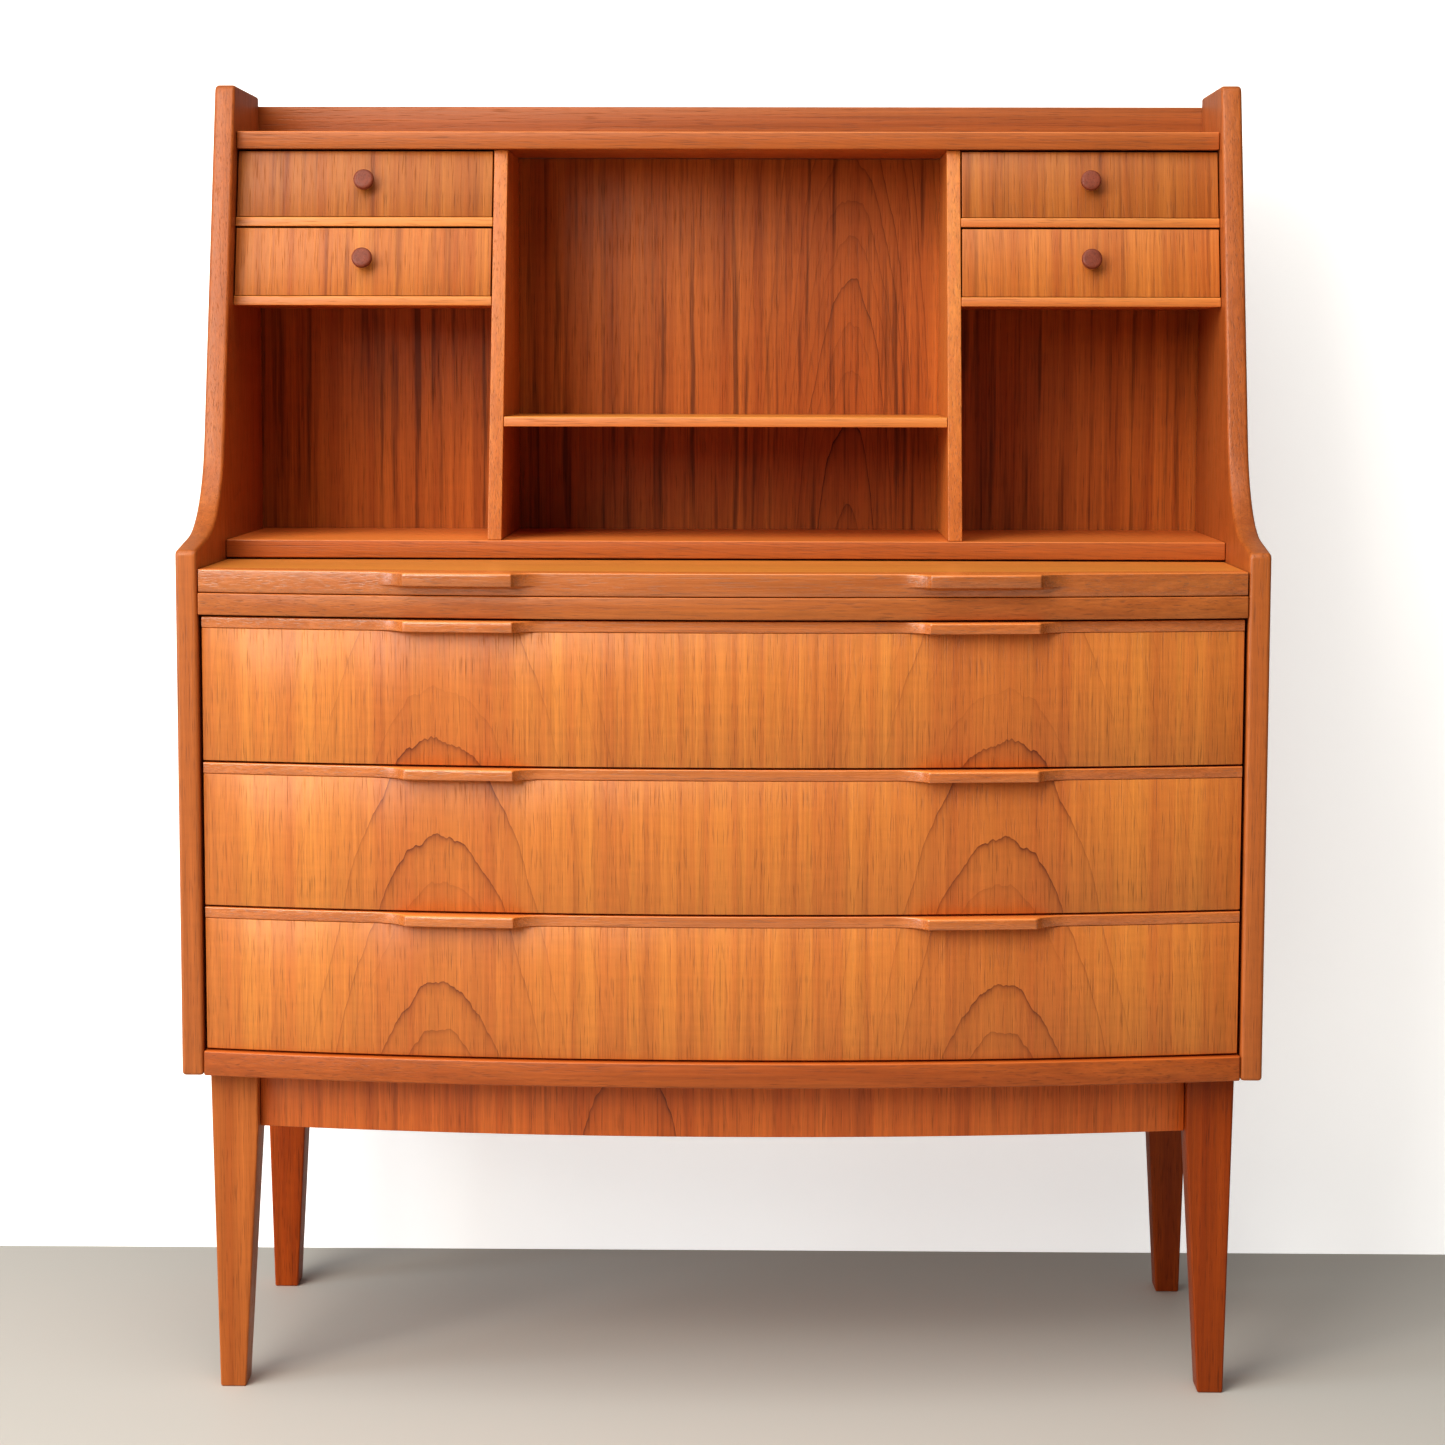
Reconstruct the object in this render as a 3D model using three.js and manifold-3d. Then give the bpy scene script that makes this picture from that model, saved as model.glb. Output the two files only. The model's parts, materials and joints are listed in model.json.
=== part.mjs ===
// Secretary desk: a bow-fronted chest of three drawers on a tapered-leg stand, a pull-out
// writing slab, and a raked upper case with open bays and four small drawers.
// Millimetres, +Z up. While the pieces are laid out, Y = 0 is the plane of the side panels'
// lower front edges and +Y runs to the back; the finished group is centred in Y at the end.
import * as THREE from 'three';
import { mergeVertices } from 'three/addons/utils/BufferGeometryUtils.js';
import Module from 'manifold-3d';

// ---------------------------------------------------------------- driving dimensions
const caseWidth = 1000;
const sideDepth = 420;
const sideThickness = 20;
const standHeight = 305;

// boards, from the bottom up
const baseThickness = 23;
const carrierThickness = 20;
const slabThickness = 21;
const deckThickness = 17;
const topThickness = 17;
const shelfThickness = 9;
const centreShelfThickness = 9.5;
const dividerThickness = 13.5;
const backThickness = 6;
const rebateDepth = 9;
const rebateWidth = 9;

// the bow of the front: how far its middle stands in front of its ends
const bow = 46;
const bowSteps = 22;

// large drawers
const drawerCount = 3;
const drawerFrontHeight = 132.5;
const drawerGap = 2;
const drawerFrontInset = 6;
const drawerFrontThickness = 18;
const drawerSideGap = 2.7;
const drawerBoxGap = 3.5;
const drawerWall = 13;
const drawerBoxHeight = 110;
const drawerBoxLift = 6;
const drawerRearSpace = 26;
const drawerBottomThickness = 4;
const drawerBottomLift = 8;
const bottomGrooveDepth = 5;

// runners on the sides of the case, and the grooves that ride on them
const runnerHeight = 12;
const runnerLift = 50;
const runnerReach = 9.2;
const runnerFrontSetback = 32;
const runnerRearSetback = 12;
const runnerPlay = 0.5;
const runnerTopPlay = 0.3;

// handles, worked in the solid strip along the top of each drawer and of the slab
const stripHeight = 10;
const slabGripHeight = 12;
const slabLipWidth = 30;
const handleCentre = 238;
const handleLength = 100;
const handleReach = 16;
const handleRamp = 30;
const handleRampSteps = 5;
const handleRampSharpness = 0.96; // 0 for a straight ramp, near 1 for a deep scoop

// writing slab
const slabSideGap = 1;
const slabPlay = 0.75;
const slabHeadroom = 1.75;
const slabRearSpace = 21;

// upper case
const upperOpening = 377.5;
const deckSetback = 166;
const innerFoot = 168;
const rakeAngle = THREE.MathUtils.degToRad(15);
const sideLead = 26;
const shoulderRise = 17;
const shoulderAngle = THREE.MathUtils.degToRad(8);
const coveRadius = 120;
const frontCornerRadius = 6;
const topCornerRadius = 9;
const topSetback = 261;
const galleryHeight = 35;
const sideHornHeight = 9.5;
const bayWidth = 252;
const upperDrawerOpening = 66.5;
const lowerDrawerOpening = 68;
const centreShelfHeight = 108.5;

// small drawers
const smallSideGap = 1.2;
const smallTopGap = 1.8;
const smallBottomGap = 0.4;
const smallFrontThickness = 14;
const smallRearSpace = 12;
const trayWall = 8;
const trayBottom = 5;
const trayDrop = 9;
const knobDiameter = 20;
const knobDepth = 15;
const knobNeckDiameter = 11;
const knobSides = 20;

// stand
const legTop = 44;
const legFootWidth = 24;
const legFootDepth = 34;
const legSetbackSide = 21.5;
const legSetbackFront = 30;
const legSetbackRear = 3;
const legOuterDraft = 5.6;
const apronHeight = 57;
const apronThickness = 18;
const frontApronInset = 52;
const sideApronSetback = 8;
const rearApronSetback = 6;

const glueGap = 0.3; // left between pieces that are fixed to each other

// ---------------------------------------------------------------- worked-out places
const halfWidth = caseWidth / 2;
const innerHalf = halfWidth - sideThickness;
const rebatePlane = sideDepth - rebateDepth;
const bowRadius = (innerHalf ** 2 + bow ** 2) / (2 * bow);
const bowCentre = bowRadius - bow;

const baseTop = standHeight + baseThickness;
const drawerPitch = drawerFrontHeight + drawerGap;
const carrierBottom = baseTop + drawerGap + drawerCount * drawerPitch;
const carrierTop = carrierBottom + carrierThickness;
const slabBottom = carrierTop + slabPlay;
const slabTop = slabBottom + slabThickness;
const deckBottom = slabTop + slabHeadroom;
const deckTop = deckBottom + deckThickness;
const topBottom = deckTop + upperOpening;
const topTop = topBottom + topThickness;
const galleryTop = topTop + galleryHeight;
const caseTop = galleryTop + sideHornHeight;
const rakeSlope = Math.tan(rakeAngle);

// front plane of everything inside the upper case, at height z
const innerRake = (z) => innerFoot + rakeSlope * (z - deckTop);

// front of the bow at x, set back square to the curve by inset
const bowFront = (x, inset) => bowCentre - Math.sqrt((bowRadius - inset) ** 2 - x * x);

// ---------------------------------------------------------------- materials
const finish = (colour, roughness) =>
  new THREE.MeshStandardMaterial({ color: colour, roughness, metalness: 0 });
const teakCase = finish(0xa85a2c, 0.42);
const teakFront = finish(0xd08548, 0.4);
const teakSolid = finish(0xb9642f, 0.38);
const teakDark = finish(0x8a4f38, 0.35);
const boxWood = finish(0xc9a06a, 0.55);
const plyWood = finish(0xb98a58, 0.6);

// ---------------------------------------------------------------- shape helpers
const desk = new THREE.Group();
const carcass = new THREE.Group();
desk.add(carcass);

function addMesh(name, geometry, material) {
  const mesh = new THREE.Mesh(geometry, material);
  mesh.name = name;
  carcass.add(mesh);
  return mesh;
}

// box between two corners
function block(x0, x1, y0, y1, z0, z1) {
  const geometry = new THREE.BoxGeometry(x1 - x0, y1 - y0, z1 - z0);
  return geometry.translate((x0 + x1) / 2, (y0 + y1) / 2, (z0 + z1) / 2);
}

function extrude(points, depth) {
  const shape = new THREE.Shape(points.map(([a, b]) => new THREE.Vector2(a, b)));
  return new THREE.ExtrudeGeometry(shape, { depth, bevelEnabled: false });
}

// an outline in plan, [x, y], raised from z0 to z1
const raise = (points, z0, z1) => extrude(points, z1 - z0).translate(0, 0, z0);

// an outline in side view, [y, z], drawn across from x0 to x1
function across(points, x0, x1) {
  const turn = new THREE.Matrix4().makeBasis(
    new THREE.Vector3(0, 1, 0), new THREE.Vector3(0, 0, 1), new THREE.Vector3(1, 0, 0));
  return extrude(points, x1 - x0).applyMatrix4(turn).translate(x0, 0, 0);
}

// an outline in front view, [x, z], drawn back from y0 to y1
function back(points, y0, y1) {
  const turn = new THREE.Matrix4().makeBasis(
    new THREE.Vector3(1, 0, 0), new THREE.Vector3(0, 0, 1), new THREE.Vector3(0, -1, 0));
  return extrude(points, y1 - y0).applyMatrix4(turn).translate(0, y1, 0);
}

// outline whose corners [a, b, radius] are rounded where a radius is given
function rounded(corners, steps = 6) {
  const outline = [];
  corners.forEach(([a, b, radius], i) => {
    if (!radius) {
      outline.push([a, b]);
      return;
    }
    const here = new THREE.Vector2(a, b);
    const before = corners[(i + corners.length - 1) % corners.length];
    const after = corners[(i + 1) % corners.length];
    const toBefore = new THREE.Vector2(before[0], before[1]).sub(here).normalize();
    const toAfter = new THREE.Vector2(after[0], after[1]).sub(here).normalize();
    const half = Math.acos(toBefore.dot(toAfter)) / 2;
    const toCentre = toBefore.clone().add(toAfter).normalize();
    const centre = toCentre.multiplyScalar(radius / Math.sin(half)).add(here);
    const start = toBefore.clone().multiplyScalar(radius / Math.tan(half)).add(here).sub(centre);
    const end = toAfter.clone().multiplyScalar(radius / Math.tan(half)).add(here).sub(centre);
    const sweep = Math.atan2(start.cross(end), start.dot(end));
    for (let k = 0; k <= steps; k += 1) {
      const turned = start.clone().rotateAround(new THREE.Vector2(), (sweep * k) / steps).add(centre);
      outline.push([turned.x, turned.y]);
    }
  });
  return outline;
}

// solid whose section is a rectangle [x0, x1, y0, y1] at each listed height
function tapered(levels) {
  const spots = [];
  const faces = [];
  levels.forEach(([z, x0, x1, y0, y1]) => spots.push(x0, y0, z, x1, y0, z, x1, y1, z, x0, y1, z));
  const quad = (a, b, c, d) => faces.push(a, b, c, a, c, d);
  quad(3, 2, 1, 0);
  for (let level = 0; level + 1 < levels.length; level += 1) {
    for (let k = 0; k < 4; k += 1) {
      const low = 4 * level;
      quad(low + k, low + ((k + 1) % 4), low + 4 + ((k + 1) % 4), low + 4 + k);
    }
  }
  const last = 4 * (levels.length - 1);
  quad(last, last + 1, last + 2, last + 3);
  const geometry = new THREE.BufferGeometry();
  geometry.setAttribute('position', new THREE.Float32BufferAttribute(spots, 3));
  geometry.setIndex(faces);
  return geometry;
}

// boolean joins and cuts
const wasm = await Module();
wasm.setup();

function toSolid(geometry) {
  const bare = geometry.clone();
  bare.deleteAttribute('normal');
  bare.deleteAttribute('uv');
  const welded = mergeVertices(bare, 1e-4);
  return new wasm.Manifold(new wasm.Mesh({
    numProp: 3,
    vertProperties: new Float32Array(welded.attributes.position.array),
    triVerts: new Uint32Array(welded.index.array),
  }));
}

function toGeometry(solid) {
  const mesh = solid.getMesh();
  const geometry = new THREE.BufferGeometry();
  geometry.setAttribute('position', new THREE.Float32BufferAttribute(mesh.vertProperties, 3));
  geometry.setIndex([...mesh.triVerts]);
  return geometry;
}

const cut = (body, ...tools) =>
  toGeometry(tools.reduce((solid, tool) => solid.subtract(toSolid(tool)), toSolid(body)));
const join = (body, other) => toGeometry(toSolid(body).add(toSolid(other)));

// ---------------------------------------------------------------- bowed outlines
// points of the bow from x0 to x1
function bowLine(x0, x1, inset, steps = bowSteps) {
  return Array.from({ length: steps + 1 }, (_, k) => {
    const x = x0 + ((x1 - x0) * k) / steps;
    return [x, bowFront(x, inset)];
  });
}

// board with a bowed front edge and a straight back edge
const bowedBoard = (half, inset, rear) =>
  [...bowLine(-half, half, inset), [half, rear], [-half, rear]];

// curved panel of even thickness
const bowedPanel = (half, inset, thickness) =>
  [...bowLine(-half, half, inset), ...bowLine(half, -half, inset + thickness)];

// the bow's front line with its two handles: a flat run, a scooped ramp, the grip, a ramp
function handleLine(half, inset) {
  const scoop = (part) => 1 - Math.sqrt(1 - (handleRampSharpness * part) ** 2);
  const ramp = (centre, side, rising) => {
    const points = [];
    for (let k = 0; k <= handleRampSteps; k += 1) {
      const part = rising ? k / handleRampSteps : 1 - k / handleRampSteps;
      const x = centre + side * (handleLength / 2 + handleRamp * (1 - part));
      const reach = handleReach * scoop(part) / scoop(1);
      points.push([x, bowFront(x, inset - reach)]);
    }
    return points;
  };
  const grip = (centre) => {
    const reach = handleLength / 2;
    return [
      ...ramp(centre, -1, true),
      ...bowLine(centre - reach, centre + reach, inset - handleReach, 4).slice(1, -1),
      ...ramp(centre, 1, false),
    ];
  };
  const outer = handleCentre + handleLength / 2 + handleRamp;
  const inner = handleCentre - handleLength / 2 - handleRamp;
  return [
    ...bowLine(-half, -outer, inset, 4).slice(0, -1),
    ...grip(-handleCentre),
    ...bowLine(-inner, inner, inset, 6).slice(1, -1),
    ...grip(handleCentre),
    ...bowLine(outer, half, inset, 4).slice(1),
  ];
}

// ---------------------------------------------------------------- side panels
const shoulderHeight = slabTop + shoulderRise;
const shoulderSlope = Math.tan(shoulderAngle);
const sideRake = (z) => innerRake(z) - sideLead;
// height where the line of the shoulder meets the line of the rake
const elbowZ = (shoulderHeight + shoulderSlope * (innerFoot - sideLead - rakeSlope * deckTop))
  / (1 - shoulderSlope * rakeSlope);
const sideOutline = rounded([
  [sideDepth, standHeight],
  [sideDepth, caseTop],
  [sideRake(caseTop), caseTop, topCornerRadius],
  [sideRake(elbowZ), elbowZ, coveRadius],
  [0, shoulderHeight, frontCornerRadius],
  [0, standHeight],
], 10).reverse();

function sidePanel(name, sign) {
  const outer = sign * halfWidth;
  const inner = sign * innerHalf;
  const panel = across(sideOutline, Math.min(outer, inner), Math.max(outer, inner));
  const mouth = inner - sign; // the cutter starts outside the panel
  const floor = inner + sign * rebateWidth;
  const rebate = block(Math.min(mouth, floor), Math.max(mouth, floor),
    rebatePlane, sideDepth + 1, standHeight - 1, caseTop + 1);
  addMesh(name, cut(panel, rebate), teakCase);
}
sidePanel('side_panel_left', -1);
sidePanel('side_panel_right', 1);

// ---------------------------------------------------------------- case boards
const boardHalf = innerHalf - glueGap;
const boardRear = rebatePlane - glueGap;
addMesh('base_board', raise(bowedBoard(boardHalf, 0, boardRear), standHeight, baseTop), teakCase);
addMesh('carrier_board',
  raise(bowedBoard(boardHalf, 0, boardRear), carrierBottom, carrierTop), teakCase);
addMesh('upper_floor_board',
  block(-boardHalf, boardHalf, deckSetback, boardRear, deckBottom, deckTop), teakCase);
addMesh('top_board', block(-boardHalf, boardHalf, topSetback, boardRear, topBottom, topTop), teakCase);

const backHalf = innerHalf + rebateWidth - glueGap;
addMesh('gallery_rail', block(-backHalf, backHalf, rebatePlane + glueGap / 2, sideDepth,
  topBottom, galleryTop), teakSolid);
addMesh('back_panel', block(-backHalf, backHalf, rebatePlane + glueGap / 2,
  rebatePlane + glueGap / 2 + backThickness, standHeight, topBottom - glueGap), plyWood);

// board whose front edge lies on the inner raked plane
const rakedBoard = (z0, z1) =>
  [[innerRake(z0), z0], [boardRear, z0], [boardRear, z1], [innerRake(z1), z1]];

const dividerOuter = innerHalf - bayWidth;
const dividerInner = dividerOuter - dividerThickness;
const dividerOutline = rakedBoard(deckTop + glueGap, topBottom - glueGap);
addMesh('divider_left', across(dividerOutline, -dividerOuter, -dividerInner), teakCase);
addMesh('divider_right', across(dividerOutline, dividerInner, dividerOuter), teakCase);

const centreShelfBottom = deckTop + centreShelfHeight;
addMesh('centre_shelf', across(rakedBoard(centreShelfBottom, centreShelfBottom + centreShelfThickness),
  -dividerInner + glueGap, dividerInner - glueGap), teakCase);

const upperShelfTop = topBottom - upperDrawerOpening;
const lowerShelfTop = upperShelfTop - shelfThickness - lowerDrawerOpening;
const bays = [
  ['left', -innerHalf, -dividerOuter],
  ['right', dividerOuter, innerHalf],
];
for (const [hand, x0, x1] of bays) {
  for (const [level, top] of [['upper', upperShelfTop], ['lower', lowerShelfTop]]) {
    addMesh(`${hand}_${level}_shelf`, across(rakedBoard(top - shelfThickness, top),
      x0 + glueGap, x1 - glueGap), teakCase);
  }
}

// ---------------------------------------------------------------- stand
const standTop = standHeight - glueGap;
const apronBottom = standHeight - apronHeight;
const legOuter = halfWidth - legSetbackSide;
const legInner = legOuter - legTop;
const rearLegBack = sideDepth - legSetbackRear;

function leg(name, sign, front) {
  const spread = (a, b) => [Math.min(sign * a, sign * b), Math.max(sign * a, sign * b)];
  const draft = (z) => legOuterDraft * (1 - z / standTop);
  const depth = (size) => (front
    ? [legSetbackFront, legSetbackFront + size]
    : [rearLegBack - size, rearLegBack]);
  const footOuter = legOuter - legOuterDraft;
  addMesh(name, tapered([
    [0, ...spread(footOuter - legFootWidth, footOuter), ...depth(legFootDepth)],
    [apronBottom, ...spread(legInner, legOuter - draft(apronBottom)), ...depth(legTop)],
    [standTop, ...spread(legInner, legOuter), ...depth(legTop)],
  ]), teakSolid);
}
leg('front_leg_left', -1, true);
leg('front_leg_right', 1, true);
leg('rear_leg_left', -1, false);
leg('rear_leg_right', 1, false);

const apronHalf = legInner - glueGap;
addMesh('front_apron',
  raise(bowedPanel(apronHalf, frontApronInset, apronThickness), apronBottom, standTop), teakCase);
const rearApronBack = rearLegBack - rearApronSetback;
addMesh('rear_apron', block(-apronHalf, apronHalf, rearApronBack - apronThickness, rearApronBack,
  apronBottom, standTop), teakCase);
const sideApronOuter = legOuter - sideApronSetback;
for (const [hand, sign] of [['left', -1], ['right', 1]]) {
  const edges = [sign * sideApronOuter, sign * (sideApronOuter - apronThickness)];
  addMesh(`${hand}_apron`, block(Math.min(...edges), Math.max(...edges),
    legSetbackFront + legTop + glueGap, rearLegBack - legTop - glueGap,
    apronBottom, standTop), teakCase);
}

// ---------------------------------------------------------------- writing slab
const slabHalf = innerHalf - slabSideGap;
const slabRear = rebatePlane - slabRearSpace;
const slabLip = [
  ...handleLine(slabHalf, 0),
  ...bowLine(slabHalf, -slabHalf, slabLipWidth),
];
addMesh('writing_slab', join(
  raise(bowedBoard(slabHalf, 0, slabRear), slabBottom, slabTop),
  raise(slabLip, slabTop - slabGripHeight, slabTop),
), teakFront);

// ---------------------------------------------------------------- large drawers
const frontHalf = innerHalf - drawerSideGap;
const boxHalf = innerHalf - drawerBoxGap;
const boxInner = boxHalf - drawerWall;
const boxRear = rebatePlane - drawerRearSpace;
const frontInner = drawerFrontInset + drawerFrontThickness;
const grooveDepth = boxHalf - (innerHalf - runnerReach) + runnerPlay;

// everything in front of a drawer front's hollow face, cut away from the drawer's sides
const frontCutter = (z0, z1) => {
  const reach = bow + handleReach;
  return raise([
    [halfWidth, -reach],
    ...bowLine(halfWidth, -halfWidth, frontInner + glueGap),
    [-halfWidth, -reach],
  ].reverse(), z0, z1);
};

function largeDrawer(name, z0) {
  const frontTop = z0 + drawerFrontHeight;
  const boxBottom = z0 + drawerBoxLift;
  const boxTop = boxBottom + drawerBoxHeight;
  const grooveBottom = z0 + runnerLift - runnerPlay;
  const grooveTop = z0 + runnerLift + runnerHeight + runnerTopPlay;
  const sheetBottom = boxBottom + drawerBottomLift;
  const sheetTop = sheetBottom + drawerBottomThickness;

  addMesh(`${name}_front`, raise(bowedPanel(frontHalf, drawerFrontInset, drawerFrontThickness),
    z0, frontTop - stripHeight - glueGap), teakFront);
  addMesh(`${name}_handle_strip`, raise([
    ...handleLine(frontHalf, drawerFrontInset),
    ...bowLine(frontHalf, -frontHalf, frontInner),
  ], frontTop - stripHeight, frontTop), teakSolid);

  // section of a side, outer face first: the runner's groove outside, the bottom's groove inside
  const sheetPlay = glueGap / 2;
  const section = [
    [boxInner, boxBottom],
    [boxHalf, boxBottom],
    [boxHalf, grooveBottom],
    [boxHalf - grooveDepth, grooveBottom],
    [boxHalf - grooveDepth, grooveTop],
    [boxHalf, grooveTop],
    [boxHalf, boxTop],
    [boxInner, boxTop],
    [boxInner, sheetTop + sheetPlay],
    [boxInner + bottomGrooveDepth, sheetTop + sheetPlay],
    [boxInner + bottomGrooveDepth, sheetBottom - sheetPlay],
    [boxInner, sheetBottom - sheetPlay],
  ];
  for (const [hand, sign] of [['left', -1], ['right', 1]]) {
    const outline = section.map(([x, z]) => [sign * x, z]);
    if (sign < 0) outline.reverse();
    const board = back(outline, 0, boxRear);
    addMesh(`${name}_side_${hand}`, cut(board, frontCutter(boxBottom - 1, boxTop + 1)), boxWood);
  }
  const backHalfWidth = boxInner - glueGap;
  addMesh(`${name}_back`, block(-backHalfWidth, backHalfWidth, boxRear - drawerWall, boxRear,
    sheetTop + glueGap, boxTop), boxWood);
  const sheetHalf = boxInner + bottomGrooveDepth - glueGap;
  addMesh(`${name}_bottom`, raise(bowedBoard(sheetHalf, frontInner + glueGap, boxRear),
    sheetBottom, sheetTop), plyWood);

  // the runners that the grooves ride on
  for (const [hand, sign] of [['left', -1], ['right', 1]]) {
    const edges = [sign * (innerHalf - glueGap), sign * (innerHalf - runnerReach)];
    addMesh(`${name}_runner_${hand}`, block(Math.min(...edges), Math.max(...edges),
      runnerFrontSetback, rebatePlane - runnerRearSetback,
      z0 + runnerLift, z0 + runnerLift + runnerHeight), boxWood);
  }
}
['lower_drawer', 'middle_drawer', 'upper_drawer'].slice(0, drawerCount)
  .forEach((name, level) => largeDrawer(name, baseTop + drawerGap + level * drawerPitch));

// ---------------------------------------------------------------- small drawers
// turned knob, its axis along the outward normal of the raked front
function knobGeometry() {
  const radius = knobDiameter / 2;
  const neck = knobNeckDiameter / 2;
  const profile = [
    [0, 0], [neck, 0], [neck, 0.25 * knobDepth], [0.86 * radius, 0.45 * knobDepth],
    [radius, 0.62 * knobDepth], [0.95 * radius, 0.82 * knobDepth],
    [0.72 * radius, 0.95 * knobDepth], [0, knobDepth],
  ];
  return new THREE.LatheGeometry(profile.map(([r, y]) => new THREE.Vector2(r, y)), knobSides);
}

function smallDrawer(name, x0, x1, floorZ, opening) {
  const left = x0 + smallSideGap;
  const right = x1 - smallSideGap;
  const low = floorZ + smallBottomGap;
  const high = floorZ + opening - smallTopGap;
  const thickness = smallFrontThickness / Math.cos(rakeAngle);
  const frontOutline = [
    [innerRake(low), low], [innerRake(low) + thickness, low],
    [innerRake(high) + thickness, high], [innerRake(high), high],
  ];
  addMesh(`${name}_front`, across(frontOutline, left, right), teakFront);

  const trayTop = high - trayDrop;
  const trayRear = boardRear - smallRearSpace;
  const behind = (z) => innerRake(z) + thickness + glueGap;
  const body = across([
    [behind(low), low], [trayRear, low], [trayRear, trayTop], [behind(trayTop), trayTop],
  ], left, right);
  const hollow = block(left + trayWall, right - trayWall, innerRake(low) - 1, trayRear - trayWall,
    low + trayBottom, trayTop + 1);
  addMesh(`${name}_tray`, cut(body, hollow), boxWood);

  const middle = (low + high) / 2;
  const knob = addMesh(`${name}_knob`, knobGeometry(), teakDark);
  knob.rotation.x = Math.PI - rakeAngle;
  const stand = glueGap / Math.cos(rakeAngle);
  knob.position.set((x0 + x1) / 2, innerRake(middle) - stand, middle);
}
for (const [hand, x0, x1] of bays) {
  smallDrawer(`${hand}_top_drawer`, x0, x1, upperShelfTop, upperDrawerOpening);
  smallDrawer(`${hand}_second_drawer`, x0, x1, lowerShelfTop, lowerDrawerOpening);
}

// ---------------------------------------------------------------- centre the desk in Y
const extent = new THREE.Box3().setFromObject(desk);
carcass.position.y = -(extent.min.y + extent.max.y) / 2;

export default desk;
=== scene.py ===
# %% [markdown]
# # A bow-fronted secretary desk
# The joinery of this desk is already fixed: every board, drawer and leg has its real size and
# place in the frame that is loaded here. What is left for Blender is what the eye sees: rounded
# edges, shaped grips, turned knobs, dovetails, and the figure and finish of oiled teak.

# %% Load the frame
import json
import math

import bmesh
import bpy
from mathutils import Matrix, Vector

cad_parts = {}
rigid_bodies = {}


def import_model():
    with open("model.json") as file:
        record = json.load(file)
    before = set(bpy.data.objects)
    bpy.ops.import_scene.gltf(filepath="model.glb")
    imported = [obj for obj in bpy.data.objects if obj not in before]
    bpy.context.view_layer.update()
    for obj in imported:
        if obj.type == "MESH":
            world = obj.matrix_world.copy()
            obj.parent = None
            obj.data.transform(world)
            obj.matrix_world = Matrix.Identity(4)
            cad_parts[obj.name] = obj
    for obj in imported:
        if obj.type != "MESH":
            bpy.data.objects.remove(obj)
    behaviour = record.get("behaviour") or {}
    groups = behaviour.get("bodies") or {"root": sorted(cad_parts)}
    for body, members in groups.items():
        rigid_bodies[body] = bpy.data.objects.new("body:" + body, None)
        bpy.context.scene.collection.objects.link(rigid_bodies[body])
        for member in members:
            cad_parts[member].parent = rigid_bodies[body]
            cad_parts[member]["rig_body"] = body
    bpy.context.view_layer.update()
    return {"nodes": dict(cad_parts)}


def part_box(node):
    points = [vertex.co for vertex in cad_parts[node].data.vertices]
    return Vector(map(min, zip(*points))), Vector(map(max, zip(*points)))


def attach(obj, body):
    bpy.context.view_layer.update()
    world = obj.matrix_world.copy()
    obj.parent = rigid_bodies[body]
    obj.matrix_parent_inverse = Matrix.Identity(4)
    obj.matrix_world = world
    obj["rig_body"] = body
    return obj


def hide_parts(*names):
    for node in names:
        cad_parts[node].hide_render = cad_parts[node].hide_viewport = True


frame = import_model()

body_of = {node: obj["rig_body"] for node, obj in frame["nodes"].items()}

# %% [markdown]
# The bow of the front is one arc. Three places on the frame settle it: the inner face of a side
# panel, the front plane of the side panels, and the middle of the base board, which stands
# furthest forward. Every curved front is that arc, set back by its own inset.

# %% Measure the bow
side_low, side_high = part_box("side_panel_left")
inner_half = -side_high.x
front_plane = side_low.y
back_plane = side_high.y
bow = front_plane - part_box("base_board")[0].y
bow_radius = (inner_half ** 2 + bow ** 2) / (2 * bow)
bow_centre = front_plane - bow + bow_radius


def bow_y(x, inset=0.0):
    """Y of the bowed front at x, set back square to the curve by inset."""
    return bow_centre - math.sqrt((bow_radius - inset) ** 2 - x * x)


print(f"bow {bow * 1000:.0f} mm on a radius of {bow_radius:.3f} m")

# %% [markdown]
# ## Teak
# Teak veneer is cut as flat sheets through a log. Where the cut runs nearly along the rings it
# shows tall arches, and further out it shows straight lines. An image of wood could give this,
# but it would be flat and would not run round the edges of a board. So the log itself is
# described: rings lie round a heart that drifts slowly as it rises, and a board is a cut through
# it. On top come slow streaks, fine fibres, short dark pores, and a faint ripple across the grain.

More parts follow.
